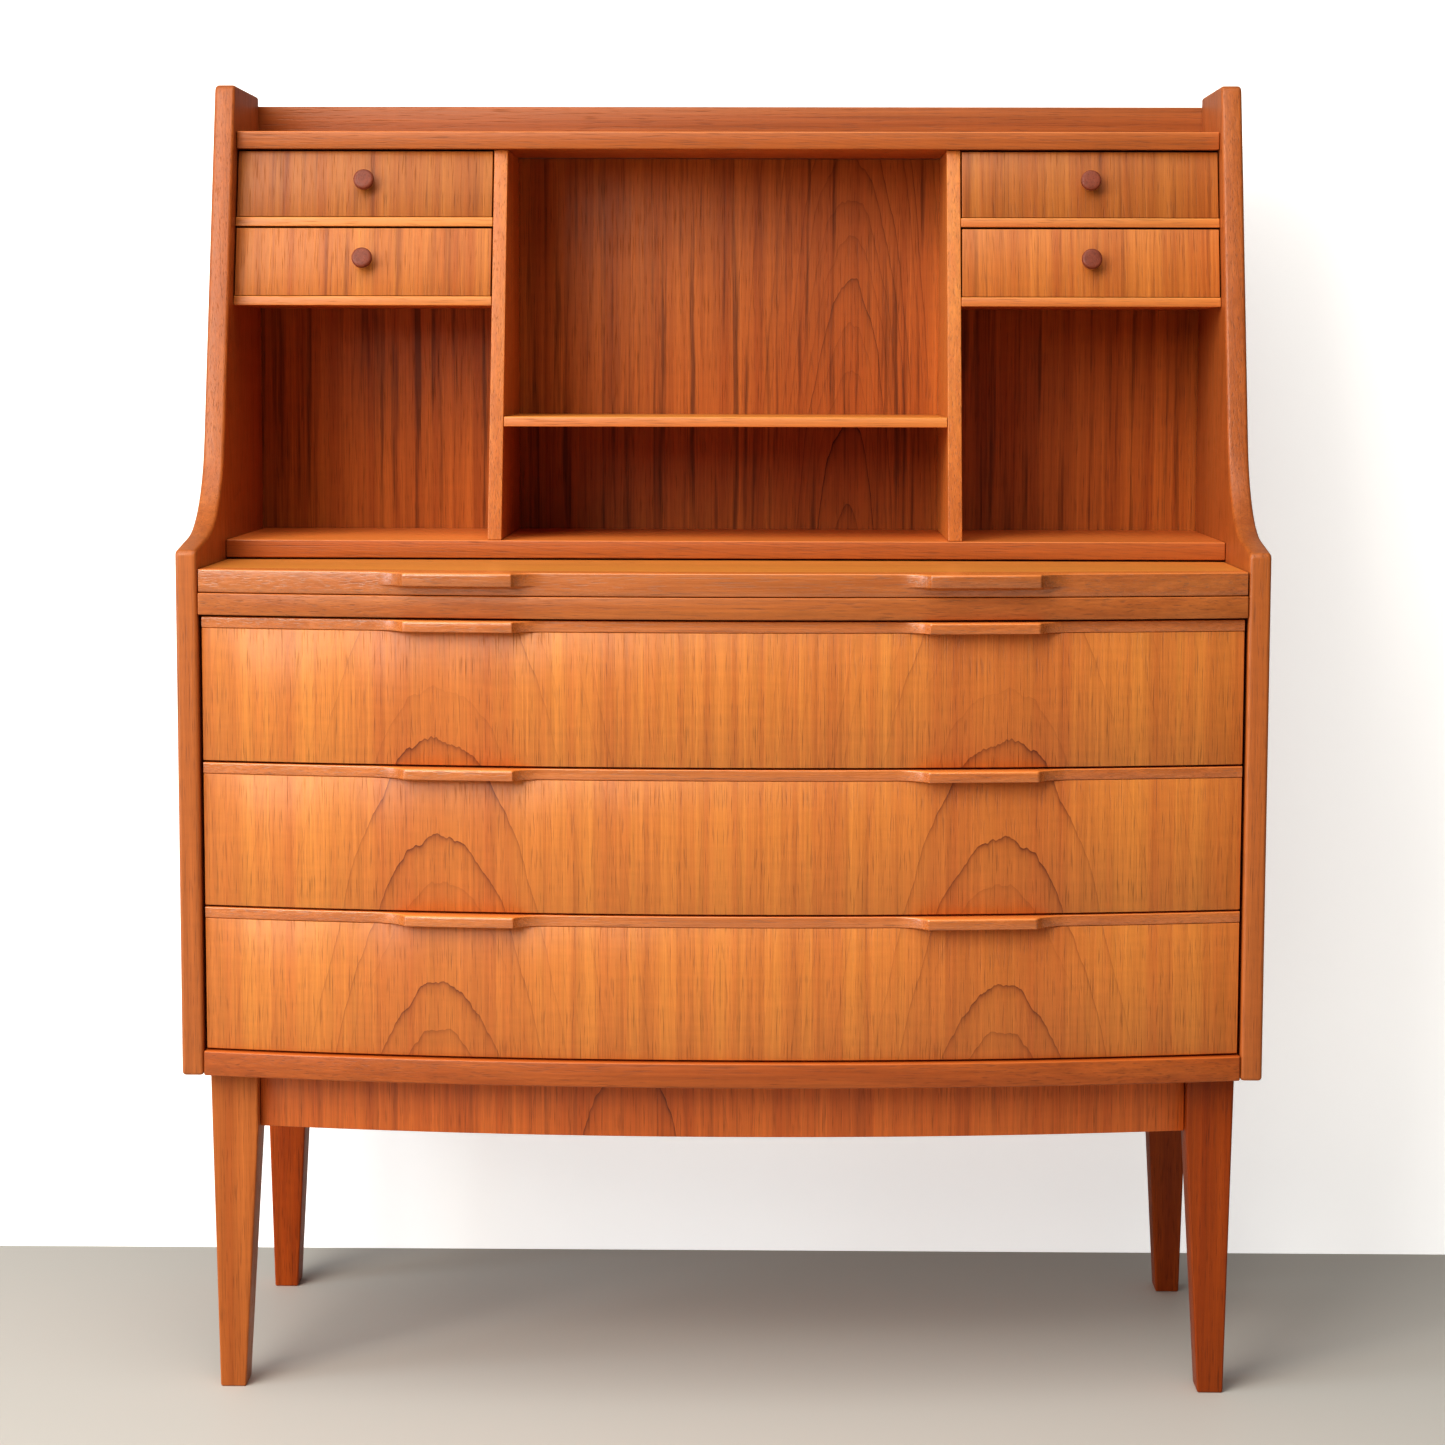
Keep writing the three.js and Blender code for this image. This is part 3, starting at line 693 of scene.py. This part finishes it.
# %% Drawer fronts and strips
LARGE_DRAWERS = ("lower_drawer", "middle_drawer", "upper_drawer")
FRONT_EDGE = 0.0007
flitch = wood("teak_matched_fronts", "front", grain="z", face="y", centre=0.257, slope=0.17,
              heart=0.061, ring=0.0076, lines=0.85, streaks=0.8, pores=0.3, ripple=0.035,
              mirror=True, depth=0.0)
for name in LARGE_DRAWERS:
    softened(name + "_front", flitch, "teak_front", FRONT_EDGE, 2)
    low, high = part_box(name + "_handle_strip")
    # the strip's top and upper edges get painted top light
    solid = wood(f"teak_{name}_strip", "rail", grain="x", face="y", lines=0.4, streaks=0.7,
                 gloss=0.9, rough=0.27, shade=1.04, painted_top_light=0.75)
    strip = grow(name + "_strip_shaped", strip_tree, {
        "Half Width": high.x, "Bow Radius": bow_radius, "Bow Centre": bow_centre,
        "Inset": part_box(name + "_front")[0].y - bow_y(0), "Depth": 0.018,
        "Bottom": low.z, "Top": high.z, "Crown": 0.0012, "Grip Crown": 0.0014, "Sole": 0.0008,
        "Grip Centre": GRIP_CENTRE, "Grip Length": GRIP_LENGTH, "Grip Reach": GRIP_REACH,
        "Ramp Length": RAMP_LENGTH, "Ramp Sharpness": RAMP_SHARPNESS, "Material": solid})
    strip.data.shade_smooth()
    strip.data.set_sharp_from_angle(angle=math.radians(50))
    place_piece(strip, body_of[name + "_front"], solid, "teak_front", name + "_handle_strip")
print("three matched fronts with their strips")

# %% Writing slab
slab_low, slab_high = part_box("writing_slab")
SLAB_LIP = 0.030
SLAB_CROWN = 0.0014
SLAB_GRIP_HEIGHT = 0.012
GRIP_SOLE = 0.0006
COVE_HEIGHT = 0.0035
SLAB_CHAMFER = 0.001
APART = 1e-5  # keeps the cove's points from being welded where the grip has no reach
JOINT_LINE = 0.0002
PANEL_STEPS = 24


def slab_ring(x, reach):
    """Section of the slab's lipping: a grip above, with a finger cove under it."""
    front = bow_y(x, -reach)
    base = bow_y(x, 0)
    rear = bow_y(x, SLAB_LIP)
    top, bottom = slab_high.z, slab_low.z
    crown = SLAB_CROWN + SLAB_CROWN * reach / GRIP_REACH
    under = top - SLAB_GRIP_HEIGHT
    quarter = [math.radians(90 * k / 4) for k in range(5)]
    ring = [(x, rear, bottom), (x, rear, top)]
    for turn in quarter:
        ring.append((x, front + crown * (1 - math.sin(turn)), top - crown * (1 - math.cos(turn))))
    ring.append((x, front + GRIP_SOLE * reach / GRIP_REACH, under + GRIP_SOLE))
    ring.append((x, front + 2 * GRIP_SOLE * reach / GRIP_REACH, under))
    for k, turn in enumerate(quarter[1:], 1):
        ring.append((x, front + (base - front) * math.sin(turn),
                     under - COVE_HEIGHT * (1 - math.cos(turn)) - APART * k))
    ring += [(x, base, bottom + SLAB_CHAMFER), (x, base + SLAB_CHAMFER, bottom)]
    return ring


lip = new_object("writing_slab_lip",
                 loft("slab_lip", [slab_ring(x, out) for x, out in stations(slab_high.x)]))
round_edges(lip, 0.0004, 1, 50)
# the lip's top and upper edges get painted top light
place_piece(lip, "writing_slab",
            wood("teak_slab_lip", "rail", grain="x", face="y", lines=0.5, streaks=0.8, gloss=0.9,
                 rough=0.27, shade=0.88, painted_top_light=0.75),
            "teak_front", "writing_slab")
rings = []
for x in (slab_high.x * (2 * k / PANEL_STEPS - 1) for k in range(PANEL_STEPS + 1)):
    front = bow_y(x, SLAB_LIP + JOINT_LINE)
    rings.append([(x, front, slab_low.z), (x, front, slab_high.z),
                  (x, slab_high.y, slab_high.z), (x, slab_high.y, slab_low.z)])
panel = new_object("writing_slab_panel", loft("slab_panel", rings))
round_edges(panel, 0.0006, 2)
# the slab's top gets painted top light
place_piece(panel, "writing_slab",
            wood("teak_slab_panel", "front", grain="x", face="z", centre=-0.05, heart=0.09,
                 ring=0.005, lines=0.6, streaks=0.7, depth=0.0, shade=1.1, painted_top_light=0.3),
            "teak_front")
print("writing slab")

# %% Drawer boxes
BOX_EDGE = 0.0006
RUNNER_EDGE = 0.0005
PLY_EDGE = 0.0003
for name in LARGE_DRAWERS:
    for hand in ("left", "right"):
        softened(f"{name}_side_{hand}",
                 wood(f"box_{name}_{hand}", "box", grain="y", face="x", lines=0.3),
                 "drawer_wood", BOX_EDGE, 2)
        softened(f"{name}_runner_{hand}",
                 wood(f"runner_{name}_{hand}", "box", grain="y", face="x", lines=0.3),
                 "drawer_wood", RUNNER_EDGE, 2)
    softened(name + "_back", wood(f"box_{name}_back", "box", grain="x", face="y", lines=0.3),
             "drawer_wood", BOX_EDGE, 2)
    softened(name + "_bottom", wood(f"ply_{name}", "ply", grain="x", face="z", lines=0.4),
             "plywood", PLY_EDGE, 1)
print("drawer boxes and runners")

# %% [markdown]
# ## Small drawers
# The four small fronts lean back with the case. Each has a turned knob of darker wood on its
# middle. Anything turned on a lathe is one profile spun round an axis, so the knob is a ring of
# stations round the axis that its node already has.

# %% Knobs and small fronts
KNOB_PROFILE = ((0.0, 0.0058), (0.0022, 0.0055), (0.0045, 0.0059), (0.0062, 0.0076),
                (0.0078, 0.0091), (0.0096, 0.0098), (0.0118, 0.0100), (0.0134, 0.0098),
                (0.0143, 0.0093), (0.0148, 0.0084), (0.0150, 0.0070), (0.0150, 0.0020))
KNOB_LENGTH = KNOB_PROFILE[-1][0]
KNOB_SIDES = 36
TRAY_EDGE = 0.0005
RAKE = math.radians(15)
knob_axis = Vector((0, -math.cos(RAKE), math.sin(RAKE)))
knob_up = Vector((0, math.sin(RAKE), math.cos(RAKE)))


def knob(node):
    """A turned knob round the node's own axis."""
    low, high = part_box(node)
    foot = (low + high) / 2 - knob_axis * (KNOB_LENGTH / 2)
    turns = [2 * math.pi * k / KNOB_SIDES for k in range(KNOB_SIDES)]
    rim = [Vector((1, 0, 0)) * math.cos(turn) + knob_up * math.sin(turn) for turn in turns]
    rings = [[foot + knob_axis * out + spoke * radius for spoke in rim]
             for out, radius in KNOB_PROFILE]
    obj = new_object(node + "_turned", loft(node + "_turned", rings))
    obj.data.shade_smooth()
    return obj


for hand in ("left", "right"):
    for level, shade in (("top", 0.74), ("second", 0.92)):
        name = f"{hand}_{level}_drawer"
        softened(name + "_front", wood(f"teak_{name}", "small", grain="z", face="y", ring=0.006,
                                       lines=0.8, streaks=0.9, veins=0.45, depth=0.0, gloss=0.3,
                                       shade=shade),
                 "teak_front", FRONT_EDGE, 2)
        softened(name + "_tray", wood(f"box_{name}", "box", grain="y", face="x", lines=0.3),
                 "drawer_wood", TRAY_EDGE, 2)
        place_piece(knob(name + "_knob"), name,
                    wood(f"knob_{name}", "knob", grain="y", face="x", ring=0.002, lines=0.5,
                         gloss=0.3),
                    "dark_teak", name + "_knob")
print("four small drawers")

# %% [markdown]
# ## Fastenings
# The thin back is held by small pins every few centimetres, the hardwood runners by slotted
# screws, and the corners of the drawer boxes by dovetails. Placing each by hand would be slow and
# uneven. They are alike and stand in rows, so Geometry Nodes place them: a tree makes one, repeats
# it, and keeps its sizes as named inputs. Each result is then made a plain mesh.

# %% Pins round a panel
pin_tree, t, given = geometry_tree("pin_border", {
    "Width": "Float", "Height": "Float", "Spacing": "Float", "Head Radius": "Float",
    "Head Height": "Float", "Turn": "Vector", "Place": "Vector", "Material": "Material"})
border = t.node("GeometryNodeCurvePrimitiveQuadrilateral", mode="RECTANGLE")
t.link(given["Width"], border.inputs["Width"])
t.link(given["Height"], border.inputs["Height"])
marks = t.node("GeometryNodeCurveToPoints", mode="LENGTH")
t.link(border.outputs[0], marks.inputs["Curve"])
t.link(given["Spacing"], marks.inputs["Length"])
head = t.node("GeometryNodeMeshCylinder")
head.inputs["Vertices"].default_value = 14
t.link(given["Head Radius"], head.inputs["Radius"])
t.link(given["Head Height"], head.inputs["Depth"])
repeat_and_dress(t, given, marks.outputs["Points"], head.outputs["Mesh"], given["Turn"],
                 given["Place"])
print("pin_border has", len(pin_tree.nodes), "nodes")

# %% Slotted screws in rows and columns
screw_tree, t, given = geometry_tree("screw_field", {
    "Levels": "Int", "Columns": "Int", "Level Span": "Float", "Column Span": "Float",
    "Head Radius": "Float", "Head Height": "Float", "Slot Width": "Float", "Turn": "Vector",
    "Place": "Vector", "Material": "Material"})
field = t.node("GeometryNodeMeshGrid")
for label, socket in (("Level Span", "Size X"), ("Column Span", "Size Y"),
                      ("Levels", "Vertices X"), ("Columns", "Vertices Y")):
    t.link(given[label], field.inputs[socket])
head = t.node("GeometryNodeMeshCylinder")
head.inputs["Vertices"].default_value = 24
t.link(given["Head Radius"], head.inputs["Radius"])
t.link(given["Head Height"], head.inputs["Depth"])
slot_size = t.node("ShaderNodeCombineXYZ")
t.link(t.math("MULTIPLY", given["Head Radius"], 3.0), slot_size.inputs[0])
t.link(given["Slot Width"], slot_size.inputs[1])
t.link(given["Head Height"], slot_size.inputs[2])
blade = t.node("GeometryNodeMeshCube")
t.link(slot_size.outputs[0], blade.inputs["Size"])
lift = t.node("ShaderNodeCombineXYZ")
t.link(t.math("MULTIPLY", given["Head Height"], 0.7), lift.inputs[2])
raised = t.node("GeometryNodeTransform")
t.link(blade.outputs["Mesh"], raised.inputs["Geometry"])
t.link(lift.outputs[0], raised.inputs["Translation"])
cut = t.node("GeometryNodeMeshBoolean", operation="DIFFERENCE")
t.link(head.outputs["Mesh"], cut.inputs["Mesh 1"])
t.link(raised.outputs[0], cut.inputs["Mesh 2"])
repeat_and_dress(t, given, field.outputs["Mesh"], cut.outputs["Mesh"], given["Turn"],
                 given["Place"])
print("screw_field has", len(screw_tree.nodes), "nodes")

# %% Dovetail ends at the four corners of a box
tail_tree, t, given = geometry_tree("dovetail_corners", {
    "Count": "Int", "Start": "Vector", "Step": "Vector", "Across": "Vector", "Along": "Vector",
    "Size": "Vector", "Flare": "Float", "Material": "Material"})
row = t.node("GeometryNodeMeshLine", mode="OFFSET")
t.link(given["Count"], row.inputs["Count"])
t.link(given["Start"], row.inputs["Start Location"])
t.link(given["Step"], row.inputs["Offset"])
corners = row.outputs[0]
for shift in ("Across", "Along"):
    beside = t.node("GeometryNodeTransform")
    t.link(corners, beside.inputs["Geometry"])
    t.link(given[shift], beside.inputs["Translation"])
    both = t.node("GeometryNodeJoinGeometry")
    t.link(corners, both.inputs[0])
    t.link(beside.outputs[0], both.inputs[0])
    corners = both.outputs[0]
plate = t.node("GeometryNodeMeshCube")
t.link(given["Size"], plate.inputs["Size"])
spot = t.node("ShaderNodeSeparateXYZ")
t.link(t.node("GeometryNodeInputPosition").outputs[0], spot.inputs[0])
widened = t.node("ShaderNodeCombineXYZ")
t.link(spot.outputs[0], widened.inputs[0])
t.link(spot.outputs[1], widened.inputs[1])
flare = t.math("MULTIPLY_ADD", spot.outputs[1], given["Flare"], 1.0)
t.link(t.math("MULTIPLY", spot.outputs[2], flare), widened.inputs[2])
shaped = t.node("GeometryNodeSetPosition")
t.link(plate.outputs["Mesh"], shaped.inputs["Geometry"])
t.link(widened.outputs[0], shaped.inputs["Position"])
repeat_and_dress(t, given, corners, shaped.outputs[0])
print("dovetail_corners has", len(tail_tree.nodes), "nodes")

# %% Put the fastenings in
def steel(name, tint, polish):
    """Worn steel, a little uneven in colour."""
    material = bpy.data.materials.new(name)
    material.use_nodes = True
    t = Tree(material.node_tree)
    shader = material.node_tree.nodes["Principled BSDF"]
    wear = t.noise(t.node("ShaderNodeTexCoord").outputs["Object"], (900, 900, 900), 3)
    dull = (*(part * 0.55 for part in tint[:3]), 1.0)
    t.link(t.mix(wear, tint, dull), shader.inputs["Base Color"])
    shader.inputs["Metallic"].default_value = 1.0
    shader.inputs["Roughness"].default_value = polish
    return material


PIN_INSET = 0.006
back_low, back_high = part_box("back_panel")
pins = grow("back_panel_pins", pin_tree, {
    "Width": back_high.x - back_low.x - 2 * PIN_INSET,
    "Height": back_high.z - back_low.z - 2 * PIN_INSET, "Spacing": 0.085,
    "Head Radius": 0.0016, "Head Height": 0.0008, "Turn": (math.radians(90), 0, 0),
    "Place": (0, back_high.y, (back_low.z + back_high.z) / 2),
    "Material": steel("pin_steel", colour(150, 146, 140), 0.4)})
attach(pins, "case")
screw_steel = steel("screw_steel", colour(172, 160, 132), 0.35)
low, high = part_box("lower_drawer_runner_left")
top_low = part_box("upper_drawer_runner_left")[0]
SCREW_RISE = 0.0001
SCREW_HEAD = 0.0012
HALF_RUNNER = 0.006
for hand, sign in (("left", -1), ("right", 1)):
    screws = grow(f"runner_screws_{hand}", screw_tree, {
        "Levels": 3, "Columns": 3, "Level Span": top_low.z - low.z, "Column Span": 0.3,
        "Head Radius": 0.0034, "Head Height": SCREW_HEAD, "Slot Width": 0.0009,
        "Turn": (0, math.radians(-90 * sign), 0),
        "Place": (sign * (-high.x - SCREW_RISE + SCREW_HEAD / 2), (low.y + high.y) / 2,
                  (low.z + top_low.z) / 2 + HALF_RUNNER), "Material": screw_steel})
    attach(screws, "case")
end_grain = wood("box_end_grain", "box", grain="x", face="y", lines=0.4, shade=0.55)
PLATE = 0.0003
TAIL_HEIGHT = 0.008
TAIL_STEP = 0.03
FRONT_GAP = 0.001
for name in LARGE_DRAWERS:
    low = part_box(name + "_side_left")[0]
    back_low, back_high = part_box(name + "_back")
    thick = back_high.y - back_low.y
    tails = grow(name + "_dovetails", tail_tree, {
        "Count": 4, "Start": (low.x, low.y + FRONT_GAP + thick / 2, low.z + TAIL_HEIGHT),
        "Step": (0, 0, TAIL_STEP), "Across": (-2 * low.x, 0, 0),
        "Along": (0, back_high.y - low.y - thick - FRONT_GAP, 0),
        "Size": (PLATE, thick, TAIL_HEIGHT), "Flare": 32.0, "Material": end_grain})
    place_piece(tails, name, end_grain, "drawer_wood")
print("fastenings in place")

# %% [markdown]
# ## Studio
# A plain pale floor and three large soft lights: a warm one from the left front, a cooler one
# from the left, as from a window, and a third overhead. The room itself gives a weak fill that
# fades to the right. A white wall stands behind; it only serves as a backdrop from the front, so
# it throws no light or shadow and is clear from behind. The camera stands a little to the right
# of the middle, at the height of the upper case, and looks slightly down.

# %% Floor, light and camera
FLOOR_SIZE = 14.0
ROOM_LEFT = 0.42
ROOM_RIGHT = 0.1
PAPER_WHITE = 0.95
WALL_GAP = 0.121
WALL_HEIGHT = 6.0
WALL_GLOW = 0.42
CAMERA_DISTANCE = 3.100
CAMERA_RIGHT = 0.0477
CAMERA_HEIGHT = 0.9594
CAMERA_LENS = 84.8
CAMERA_TURN = (90 - 5.95, -0.13, 0.88)


def stage_plane(name, corners, tint, glow):
    """A flat piece of the studio, which isn't part of the desk."""
    data = bpy.data.meshes.new(name)
    data.from_pydata(corners, [], [(0, 1, 2, 3)])
    plane = new_object(name, data)
    finish = bpy.data.materials.new(name + "_plain")
    finish.use_nodes = True
    shader = finish.node_tree.nodes["Principled BSDF"]
    shader.inputs["Base Color"].default_value = tint
    shader.inputs["Roughness"].default_value = 0.6
    shader.inputs["Emission Color"].default_value = (1, 1, 1, 1)
    shader.inputs["Emission Strength"].default_value = glow
    data.materials.append(finish)
    return plane


half = FLOOR_SIZE / 2
wall_y = back_plane + WALL_GAP
stage_plane("floor", [(-half, -half, 0), (half, -half, 0), (half, half, 0), (-half, half, 0)],
            colour(212, 208, 200), 0.0)
wall = stage_plane("paper_wall", [(-half, wall_y, 0), (half, wall_y, 0),
                                  (half, wall_y, WALL_HEIGHT), (-half, wall_y, WALL_HEIGHT)],
                   colour(250, 249, 246), WALL_GLOW)
wall.visible_diffuse = False
wall.visible_glossy = False
wall.visible_shadow = False
paper = Tree(wall.data.materials[0].node_tree)
white = paper.tree.nodes["Principled BSDF"]
see_through = paper.node("ShaderNodeMixShader")
paper.link(paper.node("ShaderNodeNewGeometry").outputs["Backfacing"], see_through.inputs[0])
paper.link(white.outputs[0], see_through.inputs[1])
paper.link(paper.node("ShaderNodeBsdfTransparent").outputs[0], see_through.inputs[2])
paper.link(see_through.outputs[0], paper.tree.nodes["Material Output"].inputs["Surface"])

scene = bpy.context.scene
world = bpy.data.worlds.new("studio")
scene.world = world
world.use_nodes = True
sky = Tree(world.node_tree)
room = world.node_tree.nodes["Background"]
room.inputs["Color"].default_value = (1.0, 0.98, 0.955, 1)
toward = sky.node("ShaderNodeSeparateXYZ")
sky.link(sky.node("ShaderNodeTexCoord").outputs["Generated"], toward.inputs[0])
sky.link(sky.span(toward.outputs[0], -1.0, 0.9, ROOM_LEFT, ROOM_RIGHT), room.inputs["Strength"])
backdrop = sky.node("ShaderNodeBackground")
backdrop.inputs["Color"].default_value = (1.0, 0.995, 0.985, 1)
backdrop.inputs["Strength"].default_value = PAPER_WHITE
seen = sky.node("ShaderNodeMixShader")
sky.link(sky.node("ShaderNodeLightPath").outputs["Is Camera Ray"], seen.inputs[0])
sky.link(room.outputs[0], seen.inputs[1])
sky.link(backdrop.outputs[0], seen.inputs[2])
sky.link(seen.outputs[0], world.node_tree.nodes["World Output"].inputs["Surface"])


def soft_light(name, place, target, width, height, power, tint):
    data = bpy.data.lights.new(name, "AREA")
    data.shape = "RECTANGLE"
    data.size, data.size_y = width, height
    data.energy = power
    data.color = tint
    lamp = bpy.data.objects.new(name, data)
    lamp.location = place
    lamp.rotation_euler = (Vector(target) - Vector(place)).to_track_quat("-Z", "Y").to_euler()
    scene.collection.objects.link(lamp)


soft_light("key", (-2.0, -3.2, 2.4), (0, 0, 0.7), 2.2, 2.2, 96, (1.0, 0.965, 0.90))
soft_light("side", (-3.5, -1.7, 1.35), (0, 0, 0.75), 1.5, 2.2, 45, (0.76, 0.90, 1.0))
soft_light("ceiling", (-0.5, -1.3, 3.3), (0, 0, 0.9), 2.6, 2.6, 50, (1.0, 0.98, 0.95))

camera_data = bpy.data.cameras.new("camera")
camera_data.sensor_width = 36
camera_data.lens = CAMERA_LENS
camera = bpy.data.objects.new("camera", camera_data)
camera.location = (CAMERA_RIGHT, front_plane - CAMERA_DISTANCE, CAMERA_HEIGHT)
camera.rotation_euler = [math.radians(angle) for angle in CAMERA_TURN]
scene.collection.objects.link(camera)
scene.camera = camera
scene.view_settings.view_transform = "Standard"
scene.view_settings.look = "Medium High Contrast"
print("camera at", tuple(round(v, 3) for v in camera.location))
